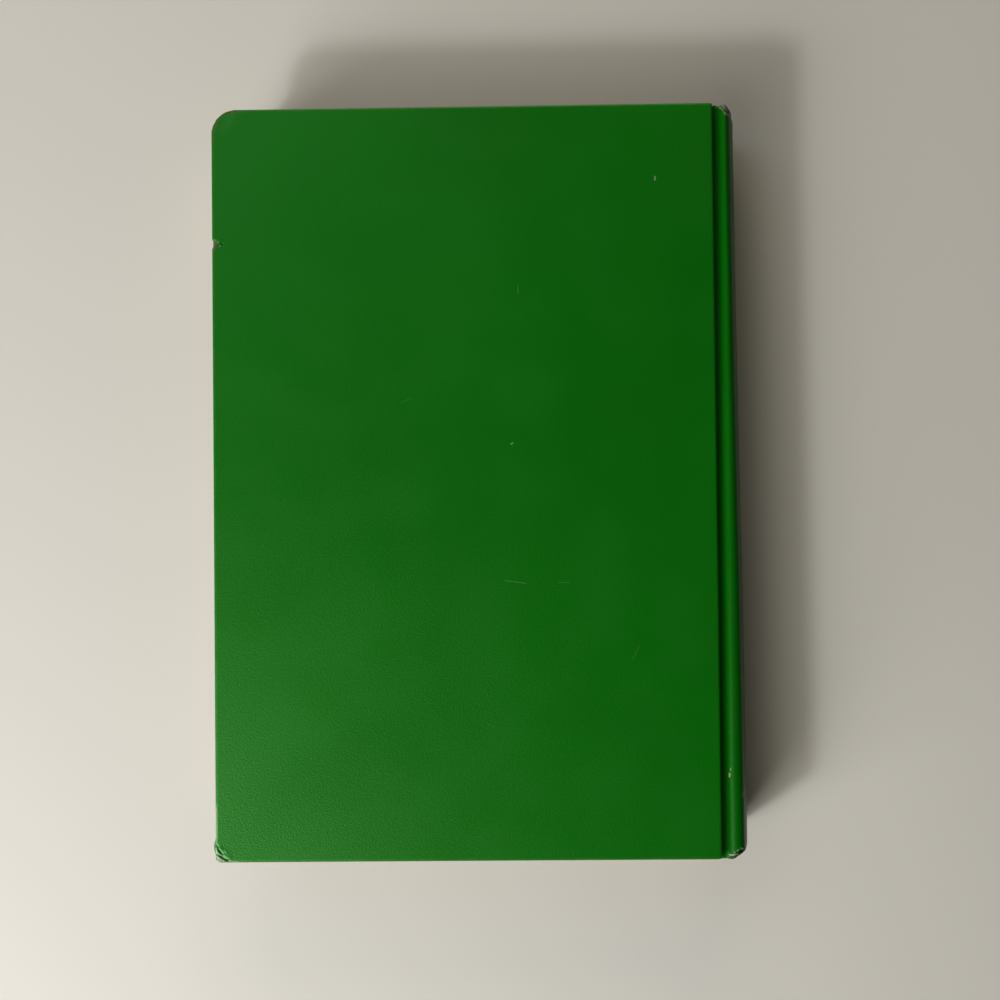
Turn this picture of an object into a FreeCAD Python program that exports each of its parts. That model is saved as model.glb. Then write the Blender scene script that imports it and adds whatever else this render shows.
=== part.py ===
import FreeCAD, Part
import os
import Sketcher

# A hardback book in cloth, lying on its front cover with the back cover up.
# X runs from the fore edge to the spine, Y from the tail to the head, Z up.
# The origin is the middle of the face that the book lies on.

# Driving dimensions in millimetres, and angles in degrees.
SIZES = {
    # The case as a whole, measured over its cloth
    "cover_height": 235.0,
    "cover_width": 157.0,
    "book_thickness": 27.0,
    "spine_reach": 9.2,
    # What the case is made of
    "board": 2.5,
    "cloth": 0.35,
    "endpaper": 0.2,
    "turn_in": 15.0,
    "edge_round": 0.8,
    "corner_round": 2.0,
    "worn_corner": 7.0,
    "pastedown_margin": 3.0,
    # The air that lets a cover swing
    "cover_play": 0.1,
    "joint_play": 0.1,
    # The section of the spine and of the joint groove beside it
    "crest_lead": 4.4,
    "crest_radius": 2.3,
    "crest_drop": 0.3,
    "groove_depth": 2.5,
    "groove_radius": 0.8,
    # The card in the spine and the hollow behind it
    "strip_card": 0.8,
    "strip_inset": 0.8,
    "hollow_back": 0.6,
    # The text block, rounded and backed
    "square_edge": 3.0,
    "fore_edge_hollow": 3.5,
    "shoulder_radius": 1.8,
    "shoulder_lag": 0.1,
    "shoulder_sweep": 75.0,
    # The lining on its back, with flanges of mull in the joints
    "lining": 0.5,
    "mull": 0.3,
    "mull_rise": 0.3,
    "mull_sweep": 85.0,
    # The headband and the tailband
    "band_bead": 0.85,
    "band_tape": 8.0,
    "band_glue": 0.05,
    # Wear at the ends of the spine
    "tear_lead": 1.2,
    "tear_start": 1.5,
    "tear_turn_lead": 4.4,
    "tear_turn": 4.0,
    "tear_end": 4.3,
    "strip_wear_lead": 3.6,
    "strip_wear_end": 2.5,
    "tail_round": 2.5,
    # How far a cut runs out past the piece that it trims
    "overcut": 1.0,
}

# Places worked out from the driving dimensions. Heights named _z are taken
# from the mid-plane of the book, because its section is the same both ways.
PLACES = {
    "half_height": "Sizes.cover_height / 2",
    "half_thickness": "Sizes.book_thickness / 2",
    "fore_x": "-(Sizes.cover_width + Sizes.spine_reach) / 2",
    "joint_x": "(Sizes.cover_width - Sizes.spine_reach) / 2",
    "spine_x": "(Sizes.cover_width + Sizes.spine_reach) / 2",
    # The cover: cloth, board and the cloth turned in over its edges
    "board_face": "Sizes.cloth + Sizes.board",
    "cover_depth": "board_face + Sizes.cloth",
    "pastedown_face": "cover_depth + Sizes.endpaper",
    # The text block
    "block_z": "half_thickness - pastedown_face - Sizes.cover_play - Sizes.endpaper",
    "flyleaf_z": "block_z + Sizes.endpaper",
    "block_y": "half_height - Sizes.square_edge",
    "block_x": "fore_x + Sizes.square_edge",
    "fore_radius": "(block_z^2 + Sizes.fore_edge_hollow^2) / (2 * Sizes.fore_edge_hollow)",
    "fore_centre_x": "block_x + Sizes.fore_edge_hollow - fore_radius",
    # The arc of the spine is tangent to the crests of its shoulders inside it
    "crest_z": "half_thickness - Sizes.crest_drop - Sizes.crest_radius",
    "crest_x": "joint_x + Sizes.crest_lead",
    "crest_back": "spine_x - crest_x",
    "spine_chords": "crest_back^2 + crest_z^2 - Sizes.crest_radius^2",
    "spine_radius": "spine_chords / (2 * (crest_back - Sizes.crest_radius))",
    "crest_link": "spine_radius - Sizes.crest_radius",
    # Arcs about the centre line of the spine, from the cloth inwards
    "centre_x": "spine_x - spine_radius",
    "strip_outer": "spine_radius - Sizes.cloth",
    "strip_inner": "strip_outer - Sizes.strip_card",
    "turned_inner": "strip_inner - Sizes.cloth",
    "lining_radius": "strip_inner - Sizes.hollow_back",
    "back_radius": "lining_radius - Sizes.lining",
    # The groove meets the crest in a tangent too
    "groove_face_z": "half_thickness - Sizes.groove_depth",
    "groove_back_z": "groove_face_z - Sizes.cloth",
    "groove_z": "groove_face_z + Sizes.groove_radius",
    "groove_link": "Sizes.crest_radius + Sizes.groove_radius",
    "groove_x": "crest_x - sqrt(groove_link^2 - (groove_z - crest_z)^2)",
    "groove_end_x": "joint_x + Sizes.joint_play",
    # Half of the angle that the strip and the bands span
    "strip_sine": "crest_z / crest_link - Sizes.strip_inset / spine_radius",
    "strip_cosine": "sqrt(1 - strip_sine^2)",
    # The shoulder of the text block curls up into the crest
    "shoulder_x": "groove_x - Sizes.shoulder_lag",
    "shoulder_z": "block_z + Sizes.shoulder_radius",
    "tip_x": "centre_x + sqrt(back_radius^2 - shoulder_z^2)",
    "flyleaf_radius": "Sizes.shoulder_radius - Sizes.endpaper",
    "mull_radius": "flyleaf_radius - Sizes.mull",
    "mull_top_z": "shoulder_z + Sizes.mull_rise",
    "mull_top_x": "centre_x + sqrt(lining_radius^2 - mull_top_z^2)",
}


def new_sheet(doc, name, cells):
    """Fill a sheet with one named cell a row."""
    sheet = doc.addObject("Spreadsheet::Sheet", name)
    for row, (alias, content) in enumerate(cells.items(), 1):
        sheet.set(f"A{row}", alias)
        sheet.set(f"B{row}", content)
        sheet.setAlias(f"B{row}", alias)
    doc.recompute()
    return sheet


def new_body(doc, label):
    """Start one sub-part."""
    body = doc.addObject("PartDesign::Body", label)
    body.Label = label
    return body


def new_sketch(body, name, plane, offset="0"):
    """Attach a sketch to one of the body's own planes, moved along its normal."""
    sketch = body.newObject("Sketcher::SketchObject", name)
    support = [item for item in body.Origin.OriginFeatures if item.Role == plane][0]
    sketch.AttachmentSupport = [(support, "")]
    sketch.MapMode = "FlatFace"
    sketch.setExpression("AttachmentOffset.Base.z", offset)
    return sketch


def line_to(x, y):
    """A corner that a straight edge leaves from."""
    return {"at": (x, y)}


def arc_to(x, y, centre, radius, left_turn=True):
    """A corner that an arc leaves from, turning left or right about a centre."""
    return {"at": (x, y), "centre": centre, "radius": radius, "left_turn": left_turn}


def point_on(centre, radius, cosine, sine):
    """The place on a circle in a direction given by its cosine and sine."""
    return f"{centre[0]} + ({radius}) * {cosine}", f"{centre[1]} + ({radius}) * {sine}"


def towards(start, end, share):
    """The place on the line from start to end at a share of its length."""
    return tuple(f"{a} + ({b} - ({a})) * {share}" for a, b in zip(start, end))


def bind(sketch, kind, target, expression):
    """Add one dimension to a sketch and bind it to the sheets."""
    value = sketch.evalExpression(expression)
    number = sketch.addConstraint(Sketcher.Constraint(kind, *target, value))
    sketch.setExpression(f"Constraints[{number}]", expression)


def draw(sketch, corners):
    """Draw a closed outline with each corner and each radius bound to the sheets."""
    places = []
    for corner in corners:
        x, y = [sketch.evalExpression(term) for term in corner["at"]]
        places.append(FreeCAD.Vector(x, y, 0))
    ends = []
    for number, corner in enumerate(corners):
        start = places[number]
        end = places[(number + 1) % len(places)]
        if "radius" not in corner:
            edge = sketch.addGeometry(Part.LineSegment(start, end))
            ends.append((edge, 1, 2))
            continue
        centre_x, centre_y = [sketch.evalExpression(term) for term in corner["centre"]]
        centre = FreeCAD.Vector(centre_x, centre_y, 0)
        left_turn = corner["left_turn"]
        first, last = (start, end) if left_turn else (end, start)
        circle = Part.Circle(centre, FreeCAD.Vector(0, 0, 1), (start - centre).Length)
        arc = Part.ArcOfCircle(circle, circle.parameter(first), circle.parameter(last))
        edge = sketch.addGeometry(arc)
        ends.append((edge, 1, 2) if left_turn else (edge, 2, 1))
    for number, (edge, first, last) in enumerate(ends):
        next_edge, next_first, next_last = ends[(number + 1) % len(ends)]
        joined = Sketcher.Constraint("Coincident", edge, last, next_edge, next_first)
        sketch.addConstraint(joined)
        x, y = corners[number]["at"]
        bind(sketch, "DistanceX", (-1, 1, edge, first), x)
        bind(sketch, "DistanceY", (-1, 1, edge, first), y)
        if "radius" in corners[number]:
            bind(sketch, "Radius", (edge,), corners[number]["radius"])


def pad(body, sketch, length, name, both_ways=False, reverse=False):
    """Raise a solid from a sketch, along its normal unless told otherwise."""
    feature = body.newObject("PartDesign::Pad", name)
    feature.Profile = sketch
    feature.SideType = "Symmetric" if both_ways else "One side"
    feature.Reversed = reverse
    feature.setExpression("Length", length)
    return feature


def pocket(body, sketch, length, name, both_ways=False, reverse=False):
    """Cut a solid away under a sketch, and make sure that it did."""
    body.Document.recompute()
    before = body.Shape.Volume
    feature = body.newObject("PartDesign::Pocket", name)
    feature.Profile = sketch
    feature.SideType = "Symmetric" if both_ways else "One side"
    feature.Reversed = reverse
    feature.setExpression("Length", length)
    body.Document.recompute()
    if body.Shape.Volume >= before:
        raise ValueError(f"{name} cuts nothing from {body.Label}")
    return feature


def flat_edges(feature, height):
    """Name the edges of a feature that lie flat at one height."""
    names = []
    for number, edge in enumerate(feature.Shape.Edges, 1):
        box = edge.BoundBox
        if abs(box.ZMin - height) < 0.001 and abs(box.ZMax - height) < 0.001:
            names.append(f"Edge{number}")
    return names


def round_edges(body, feature, height, radius, name):
    """Round the edges of a feature that lie at one height."""
    body.Document.recompute()
    level = feature.evalExpression(height)
    rounding = body.newObject("PartDesign::Fillet", name)
    rounding.Base = (feature, flat_edges(feature, level))
    rounding.setExpression("Radius", radius)
    return rounding


def rectangle(left, right, low, high):
    """A plain rectangle."""
    return [line_to(left, low), line_to(right, low), line_to(right, high), line_to(left, high)]


def cover_outline(inset, radii):
    """A cover seen from above, drawn in by an inset, with its corners rounded.

    The radii start at the fore edge and run round against the clock.
    """
    left = f"(Places.fore_x + {inset})"
    right = f"(Places.joint_x - {inset})"
    low = f"(-Places.half_height + {inset})"
    high = f"(Places.half_height - {inset})"
    low_left, low_right, high_right, high_left = [f"({radius} - {inset})" for radius in radii]
    return [
        arc_to(left, f"{low} + {low_left}", (f"{left} + {low_left}", f"{low} + {low_left}"), low_left),
        line_to(f"{left} + {low_left}", low),
        arc_to(f"{right} - {low_right}", low,
               (f"{right} - {low_right}", f"{low} + {low_right}"), low_right),
        line_to(right, f"{low} + {low_right}"),
        arc_to(right, f"{high} - {high_right}",
               (f"{right} - {high_right}", f"{high} - {high_right}"), high_right),
        line_to(f"{right} - {high_right}", high),
        arc_to(f"{left} + {high_left}", high,
               (f"{left} + {high_left}", f"{high} - {high_left}"), high_left),
        line_to(left, f"{high} - {high_left}"),
    ]


def make_board(doc, side, radii, placement):
    """The greyboard of one cover, with its outer edges eased."""
    body = new_body(doc, f"{side}_board")
    sketch = new_sketch(body, f"{side}_board_outline", "XY_Plane", "Sizes.cloth")
    draw(sketch, cover_outline("Sizes.cloth", radii))
    slab = pad(body, sketch, "Sizes.board", f"{side}_board_slab")
    round_edges(body, slab, "Sizes.cloth", "Sizes.edge_round - Sizes.cloth", f"{side}_board_easing")
    body.Placement = placement
    return body


def make_cover_cloth(doc, side, radii, placement, board):
    """The cloth on one board: over its face, round its edges and turned in."""
    blank = new_body(doc, f"{side}_cloth_blank")
    outline = new_sketch(blank, f"{side}_cloth_outline", "XY_Plane")
    draw(outline, cover_outline("0", radii))
    slab = pad(blank, outline, "Places.cover_depth", f"{side}_cloth_slab")
    round_edges(blank, slab, "0", "Sizes.edge_round", f"{side}_cloth_easing")
    window = new_sketch(blank, f"{side}_cloth_window", "XY_Plane", "Places.cover_depth")
    reach = "Places.half_height - Sizes.turn_in"
    draw(window, rectangle("Places.fore_x + Sizes.turn_in", "Places.joint_x + Sizes.overcut",
                           f"-({reach})", reach))
    pocket(blank, window, "Sizes.cloth", f"{side}_cloth_opening")
    blank.Placement = placement
    cloth = doc.addObject("Part::Cut", f"{side}_cover_cloth")
    cloth.Label = f"{side}_cover_cloth"
    cloth.Base = blank
    cloth.Tool = board
    return cloth


def make_pastedown(doc, side, placement):
    """The endpaper glued to the inside of a cover, sunk between its turn-ins."""
    body = new_body(doc, f"{side}_pastedown")
    sheet = new_sketch(body, f"{side}_pastedown_sheet", "XY_Plane", "Places.cover_depth")
    reach = "(Places.half_height - Sizes.pastedown_margin)"
    draw(sheet, rectangle("Places.fore_x + Sizes.pastedown_margin", "Places.joint_x - Sizes.cloth",
                          f"-{reach}", reach))
    pad(body, sheet, "Sizes.endpaper", f"{side}_pastedown_face")
    sunk = new_sketch(body, f"{side}_pastedown_sunk", "XY_Plane", "Places.board_face")
    reach = "(Places.half_height - Sizes.turn_in)"
    draw(sunk, rectangle("Places.fore_x + Sizes.turn_in", "Places.joint_x - Sizes.cloth",
                         f"-{reach}", reach))
    pad(body, sunk, "Sizes.cloth", f"{side}_pastedown_step")
    tray = new_sketch(body, f"{side}_pastedown_tray", "XY_Plane", "Places.pastedown_face")
    reach = "(Places.half_height - Sizes.turn_in - Sizes.endpaper)"
    draw(tray, rectangle("Places.fore_x + Sizes.turn_in + Sizes.endpaper",
                         "Places.joint_x + Sizes.overcut", f"-{reach}", reach))
    pocket(body, tray, "Sizes.cloth", f"{side}_pastedown_hollow")
    body.Placement = placement
    return body


def make_cover(doc, side, radii, placement):
    """One cover, drawn lying on its outer face and then placed."""
    board = make_board(doc, side, radii, placement)
    cloth = make_cover_cloth(doc, side, radii, placement, board)
    pastedown = make_pastedown(doc, side, placement)
    return [board, cloth, pastedown]


def mirrored(upper):
    """Close a section that is drawn from the mid-plane's upper side only.

    The upper half runs against the clock; its mirror image follows it below.
    """
    lower = []
    for number, corner in enumerate(upper):
        x, y = corner["at"]
        previous = upper[number - 1]
        if number and "radius" in previous:
            centre_x, centre_y = previous["centre"]
            lower.append(arc_to(x, f"-({y})", (centre_x, f"-({centre_y})"),
                                previous["radius"], previous["left_turn"]))
        else:
            lower.append(line_to(x, f"-({y})"))
    return upper + lower[::-1]


SPINE_CENTRE = ("Places.centre_x", "0")
SHOULDER_CENTRE = ("Places.shoulder_x", "Places.shoulder_z")
CREST_CENTRE = ("Places.crest_x", "Places.crest_z")
GROOVE_CENTRE = ("Places.groove_x", "Places.groove_z")
SHOULDER_DIRECTION = ("sin(Sizes.shoulder_sweep)", "-cos(Sizes.shoulder_sweep)")
MULL_DIRECTION = ("sin(Sizes.mull_sweep)", "-cos(Sizes.mull_sweep)")


def spine_prism(doc, label, section, length, placement):
    """A piece with one section all the way from the tail to the head."""
    body = new_body(doc, label)
    sketch = new_sketch(body, f"{label}_section", "XZ_Plane")
    draw(sketch, section)
    pad(body, sketch, length, f"{label}_length", both_ways=True)
    body.Placement = placement
    return body


def make_text_block(doc, placement):
    """The sewn leaves: hollow fore edge, round back, shoulders that stand out."""
    curl = point_on(SHOULDER_CENTRE, "Sizes.shoulder_radius", *SHOULDER_DIRECTION)
    fore_centre = ("Places.fore_centre_x", "0")
    upper = [
        line_to("Places.tip_x", "Places.shoulder_z"),
        arc_to(*curl, SHOULDER_CENTRE, "Sizes.shoulder_radius", left_turn=False),
        line_to("Places.shoulder_x", "Places.block_z"),
        arc_to("Places.block_x", "Places.block_z", fore_centre, "Places.fore_radius",
               left_turn=False),
    ]
    section = mirrored(upper)
    section[-1] = arc_to("Places.tip_x", "-Places.shoulder_z", SPINE_CENTRE, "Places.back_radius")
    return spine_prism(doc, "text_block", section, "2 * Places.block_y", placement)


def make_flyleaf(doc, side, placement):
    """The free endpaper on the text block, running up the shoulder to its fold."""
    outer = point_on(SHOULDER_CENTRE, "Places.flyleaf_radius", *SHOULDER_DIRECTION)
    inner = point_on(SHOULDER_CENTRE, "Sizes.shoulder_radius", *SHOULDER_DIRECTION)
    section = [
        line_to("Places.block_x", "Places.block_z"),
        arc_to("Places.shoulder_x", "Places.block_z", SHOULDER_CENTRE, "Sizes.shoulder_radius"),
        line_to(*inner),
        arc_to(*outer, SHOULDER_CENTRE, "Places.flyleaf_radius", left_turn=False),
        line_to("Places.shoulder_x", "Places.flyleaf_z"),
        line_to("Places.block_x", "Places.flyleaf_z"),
    ]
    return spine_prism(doc, f"{side}_flyleaf", section, "2 * Places.block_y", placement)


def make_lining(doc, placement):
    """The mull and paper on the back of the block, with a flange in each joint."""
    curl = point_on(SHOULDER_CENTRE, "Sizes.shoulder_radius", *SHOULDER_DIRECTION)
    flyleaf_end = point_on(SHOULDER_CENTRE, "Places.flyleaf_radius", *SHOULDER_DIRECTION)
    flange_top = point_on(SHOULDER_CENTRE, "Places.mull_radius", *MULL_DIRECTION)
    upper = [
        line_to("Places.mull_top_x", "Places.mull_top_z"),
        arc_to(*flange_top, SHOULDER_CENTRE, "Places.mull_radius", left_turn=False),
        line_to("Places.shoulder_x", "Places.shoulder_z - Places.mull_radius"),
        arc_to("Places.shoulder_x", "Places.flyleaf_z", SHOULDER_CENTRE, "Places.flyleaf_radius"),
        line_to(*flyleaf_end),
        line_to(*curl),
        arc_to("Places.tip_x", "Places.shoulder_z", SPINE_CENTRE, "Places.back_radius",
               left_turn=False),
    ]
    section = mirrored(upper)
    section[-1] = arc_to("Places.mull_top_x", "-Places.mull_top_z", SPINE_CENTRE,
                         "Places.lining_radius")
    length = "2 * (Places.block_y - Sizes.band_tape)"
    return spine_prism(doc, "spine_lining", section, length, placement)


def spine_band(inner, outer):
    """The section of a band between two radii, as wide as the strip."""
    low = ("Places.strip_cosine", "-Places.strip_sine")
    high = ("Places.strip_cosine", "Places.strip_sine")
    return [
        arc_to(*point_on(SPINE_CENTRE, outer, *low), SPINE_CENTRE, outer),
        line_to(*point_on(SPINE_CENTRE, outer, *high)),
        arc_to(*point_on(SPINE_CENTRE, inner, *high), SPINE_CENTRE, inner, left_turn=False),
        line_to(*point_on(SPINE_CENTRE, inner, *low)),
    ]


def wear_spine(body, head_cut, tail_round, tail_x, tail_y):
    """Trim a spine piece where its head is torn and its tail is rubbed round."""
    torn = new_sketch(body, f"{body.Label}_torn", "XY_Plane")
    draw(torn, head_cut)
    pocket(body, torn, "Sizes.book_thickness", f"{body.Label}_head_wear", both_ways=True)
    rubbed = new_sketch(body, f"{body.Label}_rubbed", "XY_Plane")
    inner_x = f"{tail_x} - {tail_round}"
    inner_y = f"{tail_y} + {tail_round}"
    draw(rubbed, [
        arc_to(inner_x, tail_y, (inner_x, inner_y), tail_round),
        line_to(tail_x, inner_y),
        line_to(f"{tail_x} + Sizes.overcut", inner_y),
        line_to(f"{tail_x} + Sizes.overcut", f"{tail_y} - Sizes.overcut"),
        line_to(inner_x, f"{tail_y} - Sizes.overcut"),
    ])
    pocket(body, rubbed, "Sizes.book_thickness", f"{body.Label}_tail_wear", both_ways=True)


def make_strip(doc, placement):
    """The card in the spine, bare at its worn head corner."""
    length = "2 * (Places.half_height - Sizes.cloth)"
    section = spine_band("Places.strip_inner", "Places.strip_outer")
    body = spine_prism(doc, "spine_strip", section, length, placement)
    head = "Places.half_height"
    head_cut = [
        line_to("Places.joint_x + Sizes.strip_wear_lead", head),
        line_to("Places.spine_x", f"{head} - Sizes.strip_wear_end"),
        line_to("Places.spine_x", f"{head} + Sizes.overcut"),
        line_to("Places.joint_x + Sizes.strip_wear_lead", f"{head} + Sizes.overcut"),
    ]
    wear_spine(body, head_cut, "(Sizes.tail_round - Sizes.cloth)",
               "(Places.spine_x - Sizes.cloth)", "(-Places.half_height + Sizes.cloth)")
    return body


def spine_cloth_section():
    """The cloth from one joint, over both shoulders, to the other joint."""
    inside_groove = "(Sizes.groove_radius + Sizes.cloth)"
    inside_crest = "(Sizes.crest_radius - Sizes.cloth)"
    outer_dip = towards(GROOVE_CENTRE, CREST_CENTRE, "Sizes.groove_radius / Places.groove_link")
    inner_dip = towards(GROOVE_CENTRE, CREST_CENTRE, f"{inside_groove} / Places.groove_link")
    outer_turn = towards(SPINE_CENTRE, CREST_CENTRE, "Places.spine_radius / Places.crest_link")
    inner_turn = towards(SPINE_CENTRE, CREST_CENTRE, "Places.strip_outer / Places.crest_link")
    upper = [
        arc_to(*outer_turn, CREST_CENTRE, "Sizes.crest_radius"),
        arc_to(*outer_dip, GROOVE_CENTRE, "Sizes.groove_radius", left_turn=False),
        line_to("Places.groove_x", "Places.groove_face_z"),
        line_to("Places.groove_end_x", "Places.groove_face_z"),
        line_to("Places.groove_end_x", "Places.groove_back_z"),
        arc_to("Places.groove_x", "Places.groove_back_z", GROOVE_CENTRE, inside_groove),
        arc_to(*inner_dip, CREST_CENTRE, inside_crest, left_turn=False),
        arc_to(*inner_turn, SPINE_CENTRE, "Places.strip_outer", left_turn=False),
    ]
    section = mirrored(upper)
    turn_x, turn_z = outer_turn
    section[-1] = arc_to(turn_x, f"-({turn_z})", SPINE_CENTRE, "Places.spine_radius")
    return section


def turn_in_tail(body):
    """Fold the spine cloth over the tail of the strip and up its inner face."""
    fold = new_sketch(body, "tail_fold", "XZ_Plane", "Places.half_height")
    draw(fold, spine_band("Places.turned_inner", "Places.strip_outer"))
    pad(body, fold, "Sizes.cloth", "tail_fold_over", reverse=True)
    flap = new_sketch(body, "tail_flap", "XZ_Plane", "Places.half_height")
    draw(flap, spine_band("Places.turned_inner", "Places.strip_inner"))
    pad(body, flap, "Sizes.turn_in", "tail_turned_in", reverse=True)


def make_spine_cloth(doc, placement):
    """The cloth of the spine and joints, rubbed at its tail and torn at its head.

    The tear has taken the folded end at the head away, so only the tail has one.
    """
    body = spine_prism(doc, "spine_cloth", spine_cloth_section(), "Sizes.cover_height", placement)
    turn_in_tail(body)
    head = "Places.half_height"
    head_cut = [
        line_to("Places.joint_x + Sizes.tear_lead", f"{head} - Sizes.tear_start"),
        line_to("Places.joint_x + Sizes.tear_turn_lead", f"{head} - Sizes.tear_turn"),
        line_to("Places.spine_x", f"{head} - Sizes.tear_end"),
        line_to("Places.spine_x + Sizes.overcut", f"{head} - Sizes.tear_end"),
        line_to("Places.spine_x + Sizes.overcut", f"{head} + Sizes.overcut"),
        line_to("Places.joint_x + Sizes.tear_lead", f"{head} + Sizes.overcut"),
    ]
    wear_spine(body, head_cut, "Sizes.tail_round", "Places.spine_x", "-Places.half_height")
    return body


def make_band(doc, label, placement):
    """A headband: a bead along the end of the round back, on a tape behind it."""
    body = new_body(doc, label)
    tape = new_sketch(body, f"{label}_tape_section", "XY_Plane")
    draw(tape, rectangle("Places.back_radius + Sizes.band_glue", "Places.lining_radius",
                         "Places.block_y - Sizes.band_tape", "Places.block_y + Sizes.band_bead"))
    bead = new_sketch(body, f"{label}_bead_section", "XY_Plane")
    ring = bead.addGeometry(Part.Circle(FreeCAD.Vector(1, 1, 0), FreeCAD.Vector(0, 0, 1), 1))
    bind(bead, "Radius", (ring,), "Sizes.band_bead")
    bind(bead, "DistanceX", (-1, 1, ring, 3), "Places.lining_radius - Sizes.band_bead")
    bind(bead, "DistanceY", (-1, 1, ring, 3), "Places.block_y + Sizes.band_bead")
    for sketch in (tape, bead):
        turned = body.newObject("PartDesign::Revolution", f"{sketch.Name}_turned")
        turned.Profile = sketch
        turned.ReferenceAxis = (sketch, ["V_Axis"])
        turned.Midplane = True
        turned.setExpression("Angle", "2 * asin(Places.strip_sine)")
    body.Placement = placement
    return body


def check(doc, pieces):
    """Stop before anything is written if a feature or a piece has failed."""
    doc.recompute()
    for item in doc.Objects:
        if "Invalid" in item.State or "Error" in item.State:
            raise ValueError(f"{item.Name} failed: {item.State}")
    for piece in pieces:
        if piece.Shape.isNull() or not piece.Shape.isValid():
            raise ValueError(f"{piece.Label} has no valid shape")


def main():
    doc = FreeCAD.newDocument("hardback_book")
    new_sheet(doc, "Sizes", {name: str(value) for name, value in SIZES.items()})
    places = new_sheet(doc, "Places", {name: f"={rule}" for name, rule in PLACES.items()})

    thickness = 2 * places.half_thickness
    half_turn = FreeCAD.Rotation(FreeCAD.Vector(1, 0, 0), 180)
    flat = FreeCAD.Placement()
    turned_over = FreeCAD.Placement(FreeCAD.Vector(0, 0, thickness), half_turn)
    middle = FreeCAD.Placement(FreeCAD.Vector(0, 0, thickness / 2), FreeCAD.Rotation())
    middle_turned = FreeCAD.Placement(FreeCAD.Vector(0, 0, thickness / 2), half_turn)
    spine_centre = FreeCAD.Vector(places.centre_x, 0, thickness / 2)
    head_place = FreeCAD.Placement(spine_centre, FreeCAD.Rotation())
    tail_place = FreeCAD.Placement(spine_centre, half_turn)

    # A cover's corners in order: worn or plain at the fore edge, tight at the joint.
    plain = "Sizes.corner_round"
    tight = "Sizes.edge_round"
    back_radii = ["Sizes.worn_corner", tight, tight, plain]
    front_radii = [plain, tight, tight, plain]

    pieces = make_cover(doc, "back", back_radii, turned_over)
    pieces += make_cover(doc, "front", front_radii, flat)
    pieces += [
        make_text_block(doc, middle),
        make_flyleaf(doc, "back", middle),
        make_flyleaf(doc, "front", middle_turned),
        make_lining(doc, middle),
        make_strip(doc, middle),
        make_spine_cloth(doc, middle),
        make_band(doc, "headband", head_place),
        make_band(doc, "tailband", tail_place),
    ]
    check(doc, pieces)

    os.makedirs("parts", exist_ok=True)
    for piece in pieces:
        piece.Shape.exportStep(f"parts/{piece.Label}.step")
        print(f"{piece.Label}: {piece.Shape.Volume / 1000:.2f} cm3")


main()
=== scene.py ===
# %% [markdown]
# # A cloth-bound hardback book, lying on its front cover
#
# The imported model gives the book's construction: boards, cloth, endpapers, text
# block and spine, each where it belongs. This lesson dresses that frame. Every
# length below is in millimetres until a mesh is made, because a binder measures
# a book that way, and the frame itself is in metres.

# %% Load the frame
import math
import bpy
import numpy as np
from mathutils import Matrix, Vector, noise


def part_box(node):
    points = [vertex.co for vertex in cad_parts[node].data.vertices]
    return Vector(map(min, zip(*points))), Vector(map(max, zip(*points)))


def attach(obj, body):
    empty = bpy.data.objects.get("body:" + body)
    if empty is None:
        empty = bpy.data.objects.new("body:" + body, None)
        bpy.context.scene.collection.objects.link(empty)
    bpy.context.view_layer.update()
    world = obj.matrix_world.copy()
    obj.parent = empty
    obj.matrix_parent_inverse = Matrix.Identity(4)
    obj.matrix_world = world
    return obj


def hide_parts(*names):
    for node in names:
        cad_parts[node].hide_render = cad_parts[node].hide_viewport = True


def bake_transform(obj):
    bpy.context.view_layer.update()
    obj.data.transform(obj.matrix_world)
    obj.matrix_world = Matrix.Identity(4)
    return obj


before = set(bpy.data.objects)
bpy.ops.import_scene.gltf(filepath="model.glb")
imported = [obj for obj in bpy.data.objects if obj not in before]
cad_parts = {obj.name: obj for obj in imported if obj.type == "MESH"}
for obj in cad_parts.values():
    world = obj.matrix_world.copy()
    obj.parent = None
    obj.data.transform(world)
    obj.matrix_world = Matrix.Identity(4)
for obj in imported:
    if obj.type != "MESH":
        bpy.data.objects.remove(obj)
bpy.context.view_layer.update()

MM = 0.001

# %% [markdown]
# The book's own places come from the frame's boxes, so that the dressing fits
# even when the book is made in another size. `FORE` and `JOINT` are the two long
# edges of a cover, `SPINE` is the outermost point of the back.

# %% Read the book's places from the frame
cover_low, cover_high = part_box("back_cover_cloth")
FORE = cover_low.x / MM
JOINT = cover_high.x / MM
TAIL = cover_low.y / MM
HEAD = cover_high.y / MM
TOP = cover_high.z / MM
COVER_DEPTH = TOP - cover_low.z / MM
MIDDLE = TOP / 2
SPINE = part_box("spine_cloth")[1].x / MM
block_low, block_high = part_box("text_block")
BLOCK_HEAD = block_high.y / MM
BLOCK_FORE = block_low.x / MM
BLOCK_TOP = 9.8
CLOTH = 0.35
CARD = 0.8
EDGE_ROUND = 0.8
print(f"cover {JOINT - FORE:.1f} x {HEAD - TAIL:.1f} mm, book {TOP:.1f} mm thick")

# %% [markdown]
# ## The camera
#
# The photograph looks straight down from about 34 cm above the cover, a shade
# off the vertical. The place and the three small turns come from the four
# corners of the cover in the picture. The lens is the one that makes the table
# look as much smaller than the cover as it does there.

# %% Set the camera
LENS_PIXELS = 1102.6
FRAME_PIXELS = 1000.0
SENSOR = 36.0

camera_data = bpy.data.cameras.new("camera")
camera_data.sensor_width = SENSOR
camera_data.lens = SENSOR * LENS_PIXELS / FRAME_PIXELS
camera_data.clip_start = 0.01
camera = bpy.data.objects.new("camera", camera_data)
camera.location = Vector((10.76, -11.22, 369.37)) * MM
camera.rotation_euler = [math.radians(turn) for turn in (0.897, 0.753, -0.594)]
bpy.context.scene.collection.objects.link(camera)
bpy.context.scene.camera = camera
print(f"lens {camera_data.lens:.1f} mm")

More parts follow.
